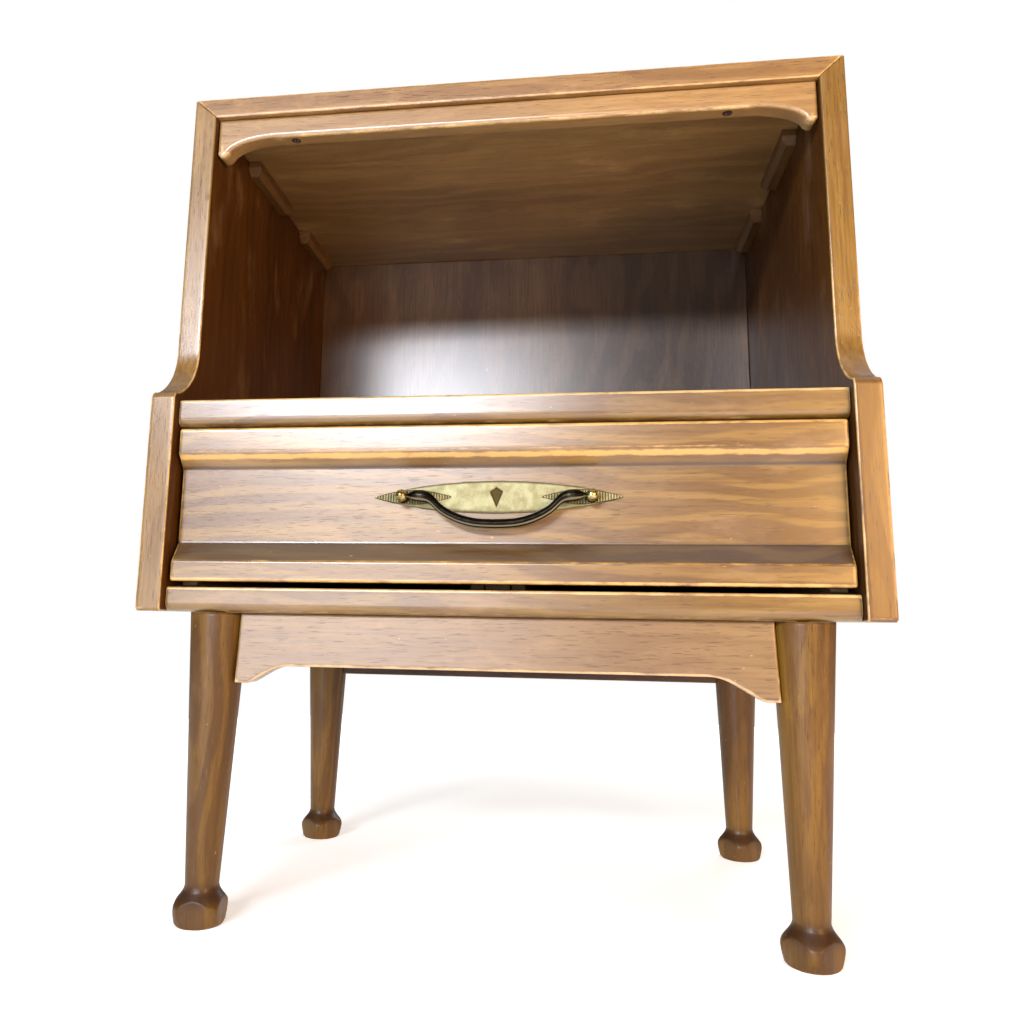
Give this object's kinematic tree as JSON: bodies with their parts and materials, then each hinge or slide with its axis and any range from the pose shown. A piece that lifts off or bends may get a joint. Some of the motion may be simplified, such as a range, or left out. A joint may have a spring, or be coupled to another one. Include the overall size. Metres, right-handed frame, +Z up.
{
  "type": "nightstand with drawer",
  "caption": "Wooden nightstand with an open cubby under a mitred top, a drawer with a brass bail pull, and round tapered legs on flared feet.",
  "frame": {"origin": "centre of the bounding box on the floor, under the feet", "axes": "+X to the right as seen from the front, front faces -Y, +Z up"},
  "size_m": [0.53, 0.356, 0.654],
  "materials": {
    "case_walnut": "worn amber lacquer, satin",
    "drawer_walnut": "worn amber lacquer, satin, glossier than the case",
    "apron_walnut": "worn lacquer, satin",
    "leg_walnut": "worn amber lacquer, satin, darker at the feet",
    "rough_walnut": "thin stain, matt",
    "inner_wood": "thin stain, matt",
    "secondary_wood": "bare wood, matt",
    "dull_steel": "dull, aged",
    "aged_brass": "aged, brushed, dulled",
    "dark_bronze": "dark patina, rubbed bright along the edge"
  },
  "bodies": {
    "case": {"side_panel_left": "case_walnut", "side_panel_right": "case_walnut", "top_panel": "case_walnut", "back_panel": "inner_wood", "cubby_valance": "case_walnut", "valance_screw_left": "dull_steel", "valance_screw_right": "dull_steel", "glue_block_front_left": "secondary_wood", "glue_block_front_right": "secondary_wood", "glue_block_back_left": "secondary_wood", "glue_block_back_right": "secondary_wood", "shelf_panel": "inner_wood", "shelf_front_rail": "case_walnut", "bottom_panel": "inner_wood", "bottom_front_rail": "case_walnut", "drawer_guide_rail": "secondary_wood", "drawer_bearer_left": "secondary_wood", "drawer_bearer_right": "secondary_wood", "drawer_kicker": "secondary_wood", "drawer_stop": "secondary_wood", "front_apron": "apron_walnut", "back_apron": "rough_walnut", "apron_block_front_left": "secondary_wood", "apron_block_front_right": "secondary_wood", "apron_block_back_left": "secondary_wood", "apron_block_back_right": "secondary_wood", "leg_front_left": "leg_walnut", "leg_front_right": "leg_walnut", "leg_back_left": "leg_walnut", "leg_back_right": "leg_walnut", "hanger_bolt_front_left": "dull_steel", "hanger_bolt_front_right": "dull_steel", "hanger_bolt_back_left": "dull_steel", "hanger_bolt_back_right": "dull_steel"},
    "drawer": {"drawer_front": "drawer_walnut", "drawer_side_left": "secondary_wood", "drawer_side_right": "secondary_wood", "drawer_back": "secondary_wood", "drawer_bottom": "secondary_wood", "drawer_runner": "secondary_wood", "pull_backplate": "aged_brass", "pull_post_left": "aged_brass", "pull_post_right": "aged_brass", "pull_nut_left": "dull_steel", "pull_nut_right": "dull_steel"},
    "bail": {"pull_bail": "dark_bronze"}
  },
  "joints": [
    {"name": "drawer_slide", "type": "slide", "parent": "case", "child": "drawer", "axis": [0, -1, 0], "range_m": [0, 0.22]},
    {"name": "bail_swing", "type": "hinge", "parent": "drawer", "child": "bail", "pos_m": [0, -0.1729, 0.3054], "axis": [-1, 0, 0], "range_deg": [0, 95]}
  ]
}
